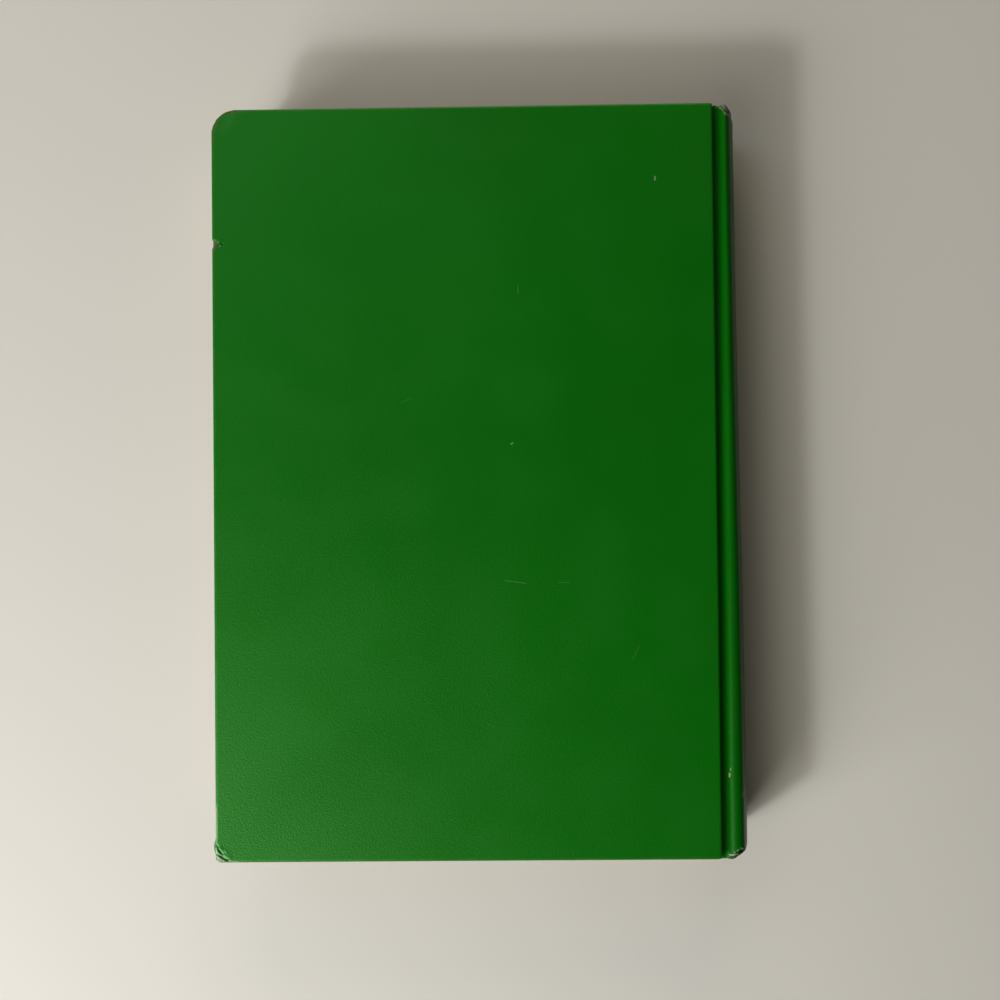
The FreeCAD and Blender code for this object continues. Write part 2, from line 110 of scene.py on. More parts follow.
# %% [markdown]
# ## Meshes from places
#
# Each piece is a list of places and a list of faces. The places at rest are also
# kept on the mesh as an attribute, so that grain and wear stay stuck to the
# cloth when a cover opens and its vertices move.

# %% A helper that makes a piece
def new_piece(name, places, faces, smooth=True):
    mesh = bpy.data.meshes.new(name)
    mesh.from_pydata((places * MM).tolist(), [], faces)
    mesh.validate()
    rest = mesh.attributes.new("rest_place", "FLOAT_VECTOR", "POINT")
    rest.data.foreach_set("vector", np.asarray(places, np.float32).ravel())
    if smooth:
        mesh.shade_smooth()
    piece = bpy.data.objects.new(name, mesh)
    bpy.context.scene.collection.objects.link(piece)
    triangles = sum(len(face) - 2 for face in faces)
    print(f"{name}: {len(places)} places, {triangles} triangles")
    return piece


def grid_faces(rows, columns, first=0, flip=False):
    """Quads over a grid of places stored row by row."""
    faces = []
    for row in range(rows - 1):
        for column in range(columns - 1):
            corner = first + row * columns + column
            face = (corner, corner + 1, corner + columns + 1, corner + columns)
            faces.append(face[::-1] if flip else face)
    return faces


def steps(start, end, coarse, zones=()):
    """Places along a line: coarse steps, with finer ones inside the zones."""
    places = [start]
    while places[-1] < end:
        here = places[-1]
        step = coarse
        for low, high, fine in zones:
            if low <= here < high:
                step = min(step, fine)
            elif here < low < here + step:
                step = max(low - here, fine)
        places.append(here + step)
    places = np.array(places)
    return start + (places - start) * (end - start) / (places[-1] - start)


def ease(value, start, end):
    """A smooth step from 0 at start to 1 at end."""
    share = np.clip((value - start) / (end - start), 0, 1)
    return share * share * (3 - 2 * share)


def rough(x, y, z, size, seed=0.0):
    """Smooth random relief between -1 and 1, with hills about one size across."""
    shift = np.array([seed, seed * 1.7, seed * 2.3])
    points = np.stack([x, y, z], -1) / size + shift
    flat = [noise.noise(Vector(point)) for point in points.reshape(-1, 3)]
    return np.array(flat).reshape(np.shape(x))

# %% [markdown]
# ## One cover
#
# The cloth lies over the board, goes round its rim and is turned in on the
# inside. A grid makes the face. Its outer ring of places then travels round the
# rim in loops, as an edge loop would be extruded by hand, and the loops give
# every corner its own radius. Rows and columns are closer together where the
# cover is worn, because a dent needs places to bend.

# %% Where the cover is worn, measured on the photograph
HEAD_CORNER = 7.0
TAIL_CORNER = 1.6
PLAIN_CORNER = 2.0
NICK_Y = HEAD - 42.2
NICK_HALF = 1.5
NICK_DEPTH = 0.45
CRUSH_REACH = 7.0

worn_rows = [
    (TAIL, TAIL + 8.0, 0.28),
    (NICK_Y - 4.0, NICK_Y + 4.0, 0.35),
    (HEAD - 9.0, HEAD, 0.35),
]
worn_columns = [
    (FORE, FORE + 8.0, 0.28),
    (JOINT - 3.0, JOINT, 0.5),
]
plain_rows = [(TAIL, TAIL + 3.0, 0.4), (HEAD - 3.0, HEAD, 0.4)]
plain_columns = [(FORE, FORE + 3.0, 0.4), (JOINT - 2.0, JOINT, 0.5)]
print(f"nick {HEAD - NICK_Y:.1f} mm below the head")


# %% The ring of places round the face, with the way each one faces
def fore_limit(y, head_corner, tail_corner):
    """The fore edge of the flat face at height y, and its outward direction."""
    for corner, centre_y, side in (
        (head_corner, HEAD - head_corner, 1),
        (tail_corner, TAIL + tail_corner, -1),
    ):
        rise = (y - centre_y) * side
        radius = corner - EDGE_ROUND
        if rise > 0 and radius > 0:
            run = math.sqrt(max(radius * radius - rise * rise, 0.0))
            direction = np.array([-run, rise * side]) / radius
            return FORE + corner - run, direction
    return FORE + EDGE_ROUND, np.array([-1.0, 0.0])


def cover_face(head_corner, tail_corner, row_zones, column_zones):
    """The flat face as a grid, and the ring of its outer places with directions."""
    ys = steps(TAIL + EDGE_ROUND, HEAD - EDGE_ROUND, 3.0, row_zones)
    right = JOINT - EDGE_ROUND
    xs = steps(FORE + EDGE_ROUND, right, 3.0, column_zones)
    shares = (xs - xs[0]) / (xs[-1] - xs[0])
    rows = []
    left_ways = []
    for y in ys:
        left, way = fore_limit(y, head_corner, tail_corner)
        x = left + (right - left) * shares
        rows.append(np.stack([x, np.full_like(x, y)], -1))
        left_ways.append(way)
    face = np.array(rows)
    row_count, column_count = face.shape[:2]
    ring = []
    ways = []
    for column in range(column_count):
        ring.append((0, column))
        ways.append((0.0, -1.0))
    ways[-1] = (math.sqrt(0.5), -math.sqrt(0.5))
    for row in range(1, row_count):
        ring.append((row, column_count - 1))
        ways.append((1.0, 0.0))
    ways[-1] = (math.sqrt(0.5), math.sqrt(0.5))
    for column in range(column_count - 2, -1, -1):
        ring.append((row_count - 1, column))
        ways.append((0.0, 1.0))
    for row in range(row_count - 2, 0, -1):
        ring.append((row, 0))
        ways.append(tuple(left_ways[row]))
    return face, ring, np.array(ways)


def rim_loops(ring_places, ways):
    """Loops that carry the cloth round the rim and in over the inner face."""
    loops = []
    for degrees in (15, 30, 45, 60, 75, 90):
        angle = math.radians(degrees)
        out = EDGE_ROUND * math.sin(angle)
        drop = EDGE_ROUND * (1 - math.cos(angle))
        loops.append((ring_places + ways * out, drop))
    edge = ring_places + ways * EDGE_ROUND
    inner_round = 0.35
    for share in (0.25, 0.5, 0.75, 1.0):
        drop = EDGE_ROUND + (COVER_DEPTH - EDGE_ROUND - inner_round) * share
        loops.append((edge.copy(), drop))
    for degrees in (45, 90):
        angle = math.radians(degrees)
        back = inner_round * (1 - math.cos(angle))
        drop = COVER_DEPTH - inner_round * (1 - math.sin(angle))
        loops.append((edge - ways * back, drop))
    for inset in (1.5, 3.5, 8.0, 15.0):
        place = edge - ways * inset
        joint_side = ways[:, 0] > 0.1
        place[joint_side, 0] = JOINT - inner_round
        place[:, 0] = np.clip(place[:, 0], FORE + inset, JOINT - inner_round)
        place[:, 1] = np.clip(place[:, 1], TAIL + inset, HEAD - inset)
        loops.append((place, COVER_DEPTH))
    return loops


def cover_shell(head_corner, tail_corner, row_zones, column_zones):
    """All places and faces of one cover's cloth, lying face up at the top."""
    face, ring, ways = cover_face(head_corner, tail_corner, row_zones, column_zones)
    row_count, column_count = face.shape[:2]
    flat = face.reshape(-1, 2)
    places = [np.column_stack([flat, np.full(len(flat), TOP)])]
    faces = grid_faces(row_count, column_count)
    before = [row * column_count + column for row, column in ring]
    ring_places = flat[before]
    count = len(flat)
    for loop, drop in rim_loops(ring_places, ways):
        places.append(np.column_stack([loop, np.full(len(loop), TOP - drop)]))
        after = list(range(count, count + len(loop)))
        for here in range(len(loop)):
            there = (here + 1) % len(loop)
            faces.append((after[here], after[there], before[there], before[here]))
        before = after
        count += len(loop)
    return np.concatenate(places), faces


# %% [markdown]
# The wear is pushed into the cloth by dents given one by one. The head corner was
# bumped round, the tail corner is crushed so that its layers split, and a nick
# in the fore edge has two small dents beside it.

# %% Push the wear into the cover
def press(places, centre, radius, depth, direction=(0, 0, -1)):
    """Push places near a centre along a direction, fading out at the radius."""
    distance = np.linalg.norm(places - np.array(centre), axis=1)
    push = depth * (1 - ease(distance, 0, radius))
    return places + push[:, None] * np.array(direction)


def crack(places, start, end, width, depth):
    """Sink a narrow crack between two places on the face."""
    start = np.array(start)
    run = np.array(end) - start
    share = np.clip((places[:, :2] - start) @ run / (run @ run), 0, 1)
    distance = np.linalg.norm(places[:, :2] - start - share[:, None] * run, axis=1)
    sunk = places.copy()
    above = ease(places[:, 2], TOP - 2.4, TOP - 1.0)
    sunk[:, 2] -= depth * (1 - ease(distance, 0, width)) * above
    return sunk


def wear_cover(places):
    """The back cover's dents, from the head down to the tail."""
    x, y, z = places.T
    worn = places.copy()
    # Boards are never dead flat
    worn[:, 2] += 0.10 * rough(x, y, z * 0, 70.0, 3.0) * ease(z, TOP - 1, TOP)
    # The bumped head corner is a little flat on its diagonal
    corner = np.hypot(x - FORE - 2.0, y - HEAD + 2.0)
    near = 1 - ease(corner, 2.0, 6.0)
    worn[:, 0] += near * (0.15 + 0.25 * rough(x, y, z, 1.6, 1.0))
    worn[:, 1] -= near * (0.15 + 0.25 * rough(x, y, z, 1.6, 5.0))
    worn[:, 2] -= near * 0.25 * ease(z, TOP - 1.5, TOP)
    # The nick in the fore edge
    along = np.clip(1 - ((y - NICK_Y) / NICK_HALF) ** 2, 0, 1)
    inward = 1 - ease(x, FORE + 0.4, FORE + 2.4)
    top_edge = ease(z, TOP - 2.6, TOP - 0.6)
    worn[:, 0] += NICK_DEPTH * along * inward * top_edge
    worn[:, 2] -= 0.45 * along * inward * top_edge
    worn = press(worn, (FORE + 1.95, NICK_Y, TOP), 0.8, 0.45)
    worn = press(worn, (FORE + 3.3, NICK_Y - 0.2, TOP), 0.7, 0.3)
    worn = press(worn, (FORE + 2.65, NICK_Y - 0.7, TOP), 0.7, -0.2)
    # The crushed tail corner: it bulges, its tip is beaten down and it has split
    tip = np.hypot(x - FORE, y - TAIL)
    crush = 1 - ease(tip, 1.0, CRUSH_REACH)
    lumps = rough(x, y, z, 1.1, 9.0)
    worn[:, 2] += crush * (0.05 + 0.30 * lumps) * ease(z, TOP - 2.5, TOP)
    side = 1 - ease(np.abs(y - TAIL - 4.9), 0.5, 3.0)
    worn[:, 0] -= 0.5 * side * (1 - ease(x, FORE, FORE + 2.0))
    worn[:, 0] += crush * 0.2 * lumps * (1 - ease(x, FORE, FORE + 2.0))
    worn[:, 1] += crush * 0.2 * lumps * (1 - ease(y, TAIL, TAIL + 2.0))
    worn = crack(worn, (FORE + 0.5, TAIL + 5.6), (FORE + 1.2, TAIL + 3.9), 0.35, 0.30)
    worn = crack(worn, (FORE + 1.2, TAIL + 3.9), (FORE + 2.3, TAIL + 2.7), 0.4, 0.32)
    worn = crack(worn, (FORE + 0.6, TAIL + 2.8), (FORE + 2.0, TAIL + 1.8), 0.4, 0.32)
    worn = crack(worn, (FORE + 2.0, TAIL + 1.8), (FORE + 4.2, TAIL + 0.6), 0.4, 0.30)
    return worn


# %% [markdown]
# ## The joint and the round spine
#
# From the cover the cloth drops into the joint groove, climbs over the crest of
# the shoulder and rounds the back. Its section is three arcs that meet in
# tangents. The sheet is that section swept from tail to head, and each place
# knows its outward direction, so that the cloth can be folded inwards at the
# ends. The spine has swollen towards the tail, as the photograph shows.

# %% The section of the spine, as places with outward directions
CREST_LEAD = 4.4
CREST_RADIUS = 2.3
CREST_DROP = 0.3
CREST_RISE = MIDDLE - CREST_DROP - CREST_RADIUS
GROOVE_RADIUS = 0.8
GROOVE_DEPTH = 2.5
GROOVE_FLOOR = MIDDLE - GROOVE_DEPTH
GROOVE_RISE = GROOVE_FLOOR + GROOVE_RADIUS
crest_x = JOINT + CREST_LEAD
link = CREST_RADIUS + GROOVE_RADIUS
groove_x = crest_x - math.sqrt(link ** 2 - (GROOVE_RISE - CREST_RISE) ** 2)
reach = SPINE - crest_x
SPINE_RADIUS = (reach ** 2 + CREST_RISE ** 2 - CREST_RADIUS ** 2) / (2 * (reach - CREST_RADIUS))
spine_centre = SPINE - SPINE_RADIUS
dip_angle = math.atan2(CREST_RISE - GROOVE_RISE, crest_x - groove_x)
turn_angle = math.atan2(CREST_RISE, crest_x - spine_centre)


def arc_places(centre_x, centre_rise, radius, angles, outward=1):
    """Places round an arc, each with its direction away from the book's inside."""
    places = []
    for angle in angles:
        across, up = math.cos(angle), math.sin(angle)
        place = (centre_x + radius * across, centre_rise + radius * up)
        places.append((*place, outward * across, outward * up))
    return places


def spine_section():
    """Rows of x, height above the middle, and the outward direction at each."""
    groove_angles = np.linspace(-math.pi / 2, dip_angle, 8)
    crest_angles = np.linspace(math.pi + dip_angle, turn_angle, 24)[1:]
    back_angles = np.linspace(turn_angle, 0, 16)[1:]
    section = [(JOINT + lead, GROOVE_FLOOR, 0.0, 1.0) for lead in (-0.3, 0.2, 0.6, 1.0)]
    section += arc_places(groove_x, GROOVE_RISE, GROOVE_RADIUS, groove_angles, -1)
    section += arc_places(crest_x, CREST_RISE, CREST_RADIUS, crest_angles)
    section += arc_places(spine_centre, 0.0, SPINE_RADIUS, back_angles)
    return np.array(section)


SECTION = spine_section()
CREST_START = 10
print(f"spine radius {SPINE_RADIUS:.1f} mm, section of {len(SECTION)} places")


# %% [markdown]
# The two ends of the spine have worn in different ways. At the head the cloth is
# torn off, further down the more the spine turns away, and the card under it has
# lost its corner. At the tail the turned-in cloth is rubbed to a slant.

# %% How the ends of the spine are worn
SWELL_HEAD = -1.0
SWELL_TAIL = 0.55
TEAR_LEADS = (1.5, 2.3, 3.5, 5.0, 9.2)
TEAR_DEPTHS = (0.1, 0.7, 2.2, 3.5, 3.9)
HEAD_JAG = 0.25
TAIL_JAG = 0.22
TAIL_ROUND = 2.4


def swell(grid):
    """Let the back stand out further at the tail than at the head."""
    amount = SWELL_HEAD + (SWELL_TAIL - SWELL_HEAD) * ease(-grid[:, :, 1], -HEAD, -TAIL)
    grid[:, :, 0] += amount * ease(grid[:, :, 0], crest_x - 2.4, crest_x + 2.0)


def torn_head(x):
    """How far below the head the torn cloth ends."""
    return np.interp(x - JOINT, TEAR_LEADS, TEAR_DEPTHS)


def bare_head(x):
    """How far below the head the bare card under the tear ends."""
    return 0.5 + 1.1 * ease(x, JOINT + 3.8, JOINT + 7.5)


def rubbed_tail(x):
    """How far above the tail the rubbed end of the spine lies."""
    past = np.clip(x - (SPINE - TAIL_ROUND), 0, TAIL_ROUND)
    corner = past ** 2 / TAIL_ROUND
    return -0.4 + 2.4 * ease(x, JOINT + 1.6, JOINT + 6.8) + 0.6 * corner


print(f"cloth torn off up to {TEAR_DEPTHS[-1]} mm below the head")

# %% [markdown]
# The sheet starts inside the back with the turned-in cloth, comes round the fold
# at the tail, runs up to the head and ends in the thickness of the torn cloth.
# Each fold or edge is a pair of a depth inwards and a distance from its end.

# %% Sweep the section into a sheet
TAIL_FOLD = ((1.3, 4.0), (1.3, 0.6), (1.15, 0.16), (0.8, 0.0), (0.35, 0.03), (0.08, 0.22))
TAIL_FOLD_RUN = 0.55
TORN_EDGE = ((0.3, 0.05), (0.34, 1.5))


def spine_sheet():
    """The joint and half of the back, with its own two ends."""
    x, rise, across, up = SECTION.T
    head_frays = np.abs(rough(x * 3, rise * 3, rise * 0, 1.1, 4.0))
    head_end = HEAD - torn_head(x) - HEAD_JAG * head_frays
    past_joint = ease(x, JOINT + 0.8, JOINT + 2.0)
    tail_frays = past_joint * rough(x * 3, rise * 3, rise * 0, 0.9, 7.0)
    tail_end = TAIL + rubbed_tail(x) + TAIL_JAG * tail_frays
    length = HEAD - TAIL
    runs = steps(0.0, length, 3.0, [(0, 7.0, 0.3), (length - 8.0, length, 0.3)])
    rows = []
    for depth, back in TAIL_FOLD:
        rows.append((x - across * depth, tail_end + back, rise - up * depth))
    tail_end = tail_end + TAIL_FOLD_RUN
    for share in runs / runs[-1]:
        rows.append((x, tail_end + (head_end - tail_end) * share, rise))
    for depth, back in TORN_EDGE:
        rows.append((x - across * depth, head_end - back, rise - up * depth))
    grid = np.array(rows).transpose(0, 2, 1)
    swell(grid)
    grid[:, :, 2] += MIDDLE
    return grid


def wear_spine(grid):
    """Small dents and a slack surface where the hollow back has flexed."""
    x, y, z = grid.reshape(-1, 3).T
    loose = ease(x, JOINT + 1.5, JOINT + 3.5)
    shift = 0.07 * rough(x, y * 0.3, z, 7.0, 6.0) + 0.03 * rough(x, y, z, 1.8, 8.0)
    end = 1 - ease(np.minimum(y - TAIL, HEAD - y), 0.5, 5.0)
    shift += end * 0.16 * rough(x, y, z, 1.3, 2.0)
    loose *= ease(z, MIDDLE, MIDDLE + 4.0)
    worn = grid.reshape(-1, 3).copy()
    worn[:, 0] += shift * loose
    worn[:, 2] += shift * loose * 0.6
    worn = press(worn, (JOINT + 2.55, HEAD - 209.2, TOP - 0.3), 0.7, 0.25)
    return worn.reshape(grid.shape)


# %% [markdown]
# Each half of the case is one mesh, from the turned-in fore edge over the cover,
# through the joint and round to the middle of the back.

# %% Make the two halves of the case
def flipped(places, faces):
    """Turn an upper half over to make the lower one."""
    lower = places.copy()
    lower[:, 2] = TOP - lower[:, 2]
    return lower, [face[::-1] for face in faces]


def case_half(name, cover, grid, cover_node, over):
    places, faces = cover
    rows, columns = grid.shape[:2]
    cover_count = len(faces)
    faces = faces + grid_faces(rows, columns, len(places), flip=True)
    places = np.concatenate([places, grid.reshape(-1, 3)])
    if over:
        places, faces = flipped(places, faces)
    piece = new_piece(name, places, faces)
    for face in piece.data.polygons[cover_count:]:
        face.material_index = 1
    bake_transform(piece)
    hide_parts(cover_node)
    return piece


back_places, back_faces = cover_shell(HEAD_CORNER, TAIL_CORNER, worn_rows, worn_columns)
back_case = case_half("back_case_cloth", (wear_cover(back_places), back_faces),
                      wear_spine(spine_sheet()), "back_cover_cloth", False)
front_shell = cover_shell(PLAIN_CORNER, PLAIN_CORNER, plain_rows, plain_columns)
front_case = case_half("front_case_cloth", front_shell,
                       wear_spine(spine_sheet()), "front_cover_cloth", True)
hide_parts("spine_cloth")

# %% [markdown]
# Where the cloth is torn at the head, the layers under it show: the frayed end
# of the spine's card and the paper on it. The card is the same section again, a
# cloth's thickness further in, with a thickness of its own, so that the hollow
# back between it and the pages shows from the ends.

# %% Make the card of the spine
def spine_card(name, over):
    x, rise, across, up = SECTION[CREST_START:].T
    inward = CLOTH + 0.05
    head_frays = np.abs(rough(x * 4, rise * 4, rise * 0, 1.0, 12.0))
    head_end = HEAD - bare_head(x) - HEAD_JAG * head_frays
    tail_end = TAIL + rubbed_tail(x) + 1.5
    layers = []
    for share in steps(0.0, 1.0, 0.05, [(0.95, 1.0, 0.001)]):
        lumps = 0.10 * rough(x * 2, rise * 2, rise * 0 + share * 250, 0.9, 3.0)
        layers.append((share, inward - lumps * ease(share, 0.9, 0.96)))
    for share in (1.0, 0.99, 0.5, 0.01, 0.0):
        layers.append((share, inward + CARD))
    layers.append(layers[0])
    rows = []
    for share, depth in layers:
        y = tail_end + (head_end - tail_end) * share
        rows.append((x - across * depth, y, rise - up * depth))
    grid = np.array(rows).transpose(0, 2, 1)
    swell(grid)
    grid[:, :, 2] += MIDDLE
    faces = grid_faces(*grid.shape[:2], flip=True)
    places = grid.reshape(-1, 3)
    if over:
        places, faces = flipped(places, faces)
    piece = new_piece(name, places, faces)
    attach(piece, "book_block")
    return piece


spine_cards = [spine_card("spine_card_back", False), spine_card("spine_card_front", True)]
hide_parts("spine_strip")

# %% [markdown]
# ## The endpapers
#
# A pastedown is glued over the turned-in cloth, whose edges show through it as
# low ridges. It runs on across the joint to its fold at the top of the shoulder.

# %% Make the pastedowns with their joints
PASTE_MARGIN = 3.0
TURN_IN = 15.0
PAPER = 0.2
SHOULDER_RADIUS = 1.8
inner_face = MIDDLE - COVER_DEPTH
shoulder_x = groove_x - 0.1
shoulder_rise = BLOCK_TOP + SHOULDER_RADIUS
fold_x = shoulder_x + (SHOULDER_RADIUS - PAPER) * math.sin(math.radians(70))


def pastedown_height(x, y):
    """Height of the paper's free face above the middle of the book."""
    inside = np.minimum(x - FORE, np.minimum(HEAD - y, y - TAIL))
    over_turn_in = 1 - ease(inside, TURN_IN - 0.8, TURN_IN + 0.8)
    glued = inner_face - PAPER + CLOTH * (1 - over_turn_in)
    curl_radius = SHOULDER_RADIUS - PAPER - 0.06
    run = np.clip(x - shoulder_x, 0, curl_radius - 0.04)
    curl = shoulder_rise - np.sqrt(curl_radius ** 2 - run ** 2)
    across = ease(x, JOINT - 0.4, shoulder_x)
    return glued * (1 - across) + curl * across


def pastedown(name, node, over):
    columns = [(FORE + TURN_IN - 2, FORE + TURN_IN + 2, 0.4), (JOINT - 1.0, fold_x, 0.18)]
    xs = steps(FORE + PASTE_MARGIN, fold_x, 4.0, columns)
    turned = (TAIL + TURN_IN, HEAD - TURN_IN)
    ridges = [(edge - 2, edge + 2, 0.4) for edge in turned]
    ys = steps(TAIL + PASTE_MARGIN, HEAD - PASTE_MARGIN, 4.0, ridges)
    x, y = np.meshgrid(xs, ys)
    slack = 0.04 * rough(x, y, x * 0, 25.0, 2.0)
    grid = np.stack([x, y, MIDDLE + pastedown_height(x, y) + slack], -1)
    faces = grid_faces(*grid.shape[:2], flip=True)
    places = grid.reshape(-1, 3)
    if over:
        places, faces = flipped(places, faces)
    piece = new_piece(name, places, faces)
    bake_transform(piece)
    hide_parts(node)
    return piece


pastedowns = [
    pastedown("back_pastedown_sheet", "back_pastedown", False),
    pastedown("front_pastedown_sheet", "front_pastedown", True),
]

# %% [markdown]
# ## The text block
#
# The pages were cut in one stroke, but each leaf has since moved by a hair. The
# block is therefore built like the real one, as a stack: each layer is an
# outline at its own height, and its four sides wander a little from the layer
# below. The finest leaves are left to the paper's bump.

# %% Stack the leaves
LAYER = 0.2
GATHERING = 16
HOLLOW_BACK = 0.6
LINING = 0.5
BACK_RADIUS = SPINE_RADIUS - CLOTH - CARD - HOLLOW_BACK - LINING
FORE_HOLLOW = 3.5
fore_radius = (BLOCK_TOP ** 2 + FORE_HOLLOW ** 2) / (2 * FORE_HOLLOW)
PLACES_ALONG = 40
PLACES_UP = 56


def layer_span(height):
    """Where a layer starts at the fore edge and ends at the round back."""
    back = spine_centre + math.sqrt(BACK_RADIUS ** 2 - height ** 2)
    if abs(height) <= BLOCK_TOP:
        hollow = math.sqrt(fore_radius ** 2 - height ** 2)
        return BLOCK_FORE + FORE_HOLLOW - fore_radius + hollow, back
    drop = shoulder_rise - abs(height)
    return shoulder_x + math.sqrt(max(SHOULDER_RADIUS ** 2 - drop ** 2, 0)), back


def layer_ring(height, number):
    """One layer's outline, with the small wander of its four sides."""
    left, right = layer_span(height)
    length = right - left
    along = np.linspace(0, 1, PLACES_ALONG)
    across = np.linspace(0, 1, PLACES_UP)
    gathering = number // GATHERING
    jump = 0.05 * math.sin(number * 2.4) + 0.10 * math.sin(gathering * 1.9)
    head = BLOCK_HEAD - 0.12
    full = min(1.0, length / 50)
    wave = 0.07 * rough(along * 6, along * 0 + number * 0.5, along * 0, 1.0, 1.0)
    side = 0.07 * rough(across * 6, across * 0 + number * 0.5, across * 0, 1.0, 2.0)
    x = left + length * along
    tail_row = np.stack([x, -(head + wave + jump), np.full_like(x, height)], -1)
    head_row = np.stack([x[::-1], head + wave[::-1] - jump, np.full_like(x, height)], -1)
    y = -head + 2 * head * across
    back_row = np.stack([right + side * 0.5, y, np.full_like(y, height)], -1)
    fore_row = np.stack([left + (side + jump) * full, y[::-1], np.full_like(y, height)], -1)
    return np.concatenate([tail_row[:-1], back_row[:-1], head_row[:-1], fore_row[:-1]])


inner_heights = np.linspace(-BLOCK_TOP, BLOCK_TOP, int(2 * BLOCK_TOP / LAYER) + 1)
shoulder_heights = np.linspace(BLOCK_TOP + 0.001, shoulder_rise - 0.3, 7)
heights = np.concatenate([-shoulder_heights[::-1], inner_heights, shoulder_heights])
rings = np.array([layer_ring(height, number) for number, height in enumerate(heights)])
ring_size = rings.shape[1]
leaf_faces = []
for layer in range(len(rings) - 1):
    for here in range(ring_size):
        there = (here + 1) % ring_size
        low = layer * ring_size
        high = low + ring_size
        leaf_faces.append((low + here, low + there, high + there, high + here))
leaf_faces.append(tuple(range(ring_size - 1, -1, -1)))
leaf_faces.append(tuple((len(rings) - 1) * ring_size + here for here in range(ring_size)))
leaf_places = rings.reshape(-1, 3) + np.array([0, 0, MIDDLE])
leaves = new_piece("leaves", leaf_places, leaf_faces, smooth=False)
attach(leaves, "book_block")
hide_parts("text_block")

# %% [markdown]
# ## Finishes
#
# Shader sums read best when they are written as sums. `Value` wraps a socket, so
# that `1 - mask * 0.5` builds its own Math nodes, and `Finish.node` makes every
# other node from its type, its settings and what goes into its sockets.

# %% A small language for shader sums
class Value:
    """A socket that can be used in sums."""

    def __init__(self, finish, socket):
        self.finish = finish
        self.socket = socket

    def math(self, operation, *terms):
        inputs = dict(enumerate(terms))
        return self.finish.node("ShaderNodeMath", {"operation": operation}, inputs)

    def __add__(self, other):
        return self.math("ADD", self, other)

    def __sub__(self, other):
        return self.math("SUBTRACT", self, other)

    def __rsub__(self, other):
        return self.math("SUBTRACT", other, self)

    def __mul__(self, other):
        return self.math("MULTIPLY", self, other)

    def power(self, other):
        return self.math("POWER", self, other)

    def largest(self, other):
        return self.math("MAXIMUM", self, other)

    def smallest(self, other):
        return self.math("MINIMUM", self, other)

    def size(self):
        return self.math("ABSOLUTE", self)

    def sine(self):
        return self.math("SINE", self)

    def angle(self, across):
        """The angle of a place that is this far up and so far across."""
        return self.math("ARCTAN2", self, across)

    def ramp(self, start, end, low=0.0, high=1.0):
        """A smooth step of this value, from low at start to high at end."""
        settings = {"interpolation_type": "SMOOTHSTEP"}
        inputs = {"Value": self, "From Min": start, "From Max": end, "To Min": low, "To Max": high}
        return self.finish.node("ShaderNodeMapRange", settings, inputs)


class Finish:
    """A material whose nodes are made one call at a time."""

    def __init__(self, name):
        self.material = bpy.data.materials.new(name)
        self.material.use_nodes = True
        self.tree = self.material.node_tree
        self.shader = self.tree.nodes["Principled BSDF"]

    def node(self, kind, settings=None, inputs=None, output=0):
        node = self.tree.nodes.new(kind)
        for setting, content in (settings or {}).items():
            setattr(node, setting, content)
        for key, content in (inputs or {}).items():
            self.feed(node.inputs[key], content)
        return Value(self, node.outputs[output])

    def feed(self, socket, content):
        if isinstance(content, Value):
            self.tree.links.new(content.socket, socket)
        elif socket.type == "RGBA" and len(content) == 3:
            socket.default_value = (*content, 1.0)
        else:
            socket.default_value = content

    def wear(self, **sockets):
        """Set or link the sockets of the surface itself."""
        for name, content in sockets.items():
            self.feed(self.shader.inputs[name.replace("_", " ")], content)

    def rest_place(self):
        """Where this bit of the surface lies on the closed book, in millimetres."""
        return self.node("ShaderNodeAttribute", {"attribute_name": "rest_place"}, output="Vector")

    def own_place(self):
        """The same for a piece straight from the frame, which is in metres."""
        metres = self.node("ShaderNodeTexCoord", output="Object")
        inputs = {0: metres, "Scale": 1 / MM}
        return self.node("ShaderNodeVectorMath", {"operation": "SCALE"}, inputs)

    def axes(self, place):
        kinds = ("X", "Y", "Z")
        return [self.node("ShaderNodeSeparateXYZ", None, {0: place}, output=kind) for kind in kinds]

    def noise(self, place, size, detail=2.0, roughness=0.5, shift=(0, 0, 0)):
        """Smooth random values about 0.5, with patches about one size across."""
        moved = self.node("ShaderNodeVectorMath", {"operation": "ADD"}, {0: place, 1: shift})
        inputs = {"Vector": moved, "Scale": 1 / size, "Detail": detail, "Roughness": roughness}
        return self.node("ShaderNodeTexNoise", None, inputs)

    def stretched(self, place, factors):
        return self.node("ShaderNodeVectorMath", {"operation": "MULTIPLY"}, {0: place, 1: factors})

    def mixed(self, share, first, second):
        settings = {"data_type": "RGBA", "clamp_factor": True}
        return self.node("ShaderNodeMix", settings, {0: share, 6: first, 7: second}, output=2)

    def bump(self, height, distance, strength):
        inputs = {"Height": height, "Distance": distance, "Strength": strength}
        return self.node("ShaderNodeBump", None, inputs)


# %% [markdown]
# ### Book cloth
#
# The cloth is a filled, grained book cloth: deep green, with a fine pebbled
# grain and a low gloss. Wear takes the colour off where the board's rim is
# rubbed. The marks on the face are short scratches and chips, each given by its
# place from the fore edge and the head, its length, its width and its turn. One
# pale mark beside the nick is a painted highlight, and the dark marks are painted
# shade in the dents by the nick and in the cracks of the crushed corner. Painted
# shade also darkens the back of the spine, the gaps between torn threads and the
# folded tail end.

# %% The green cloth and its marks
GREEN = (0.0010, 0.120, 0.0012)
GREEN_DARK = (0.0008, 0.110, 0.0009)
GREEN_WORN = (0.030, 0.150, 0.026)
RIM_OLIVE = (0.008, 0.020, 0.004)
BARE_BOARD = (0.120, 0.096, 0.045)
BARE_DARK = (0.040, 0.034, 0.014)
CRUSHED_PALE = (0.210, 0.250, 0.160)
CRUSHED_DARK = (0.045, 0.065, 0.030)
# Pale threads and fibres; the same colour paints one highlight beside the nick
PALE_FIBRE_AND_HIGHLIGHT = (0.380, 0.420, 0.300)
# Near-black green used only as painted shade: in dents, cracks, thread gaps and over the spine
PAINTED_SHADE_GREEN = (0.0010, 0.0120, 0.0008)

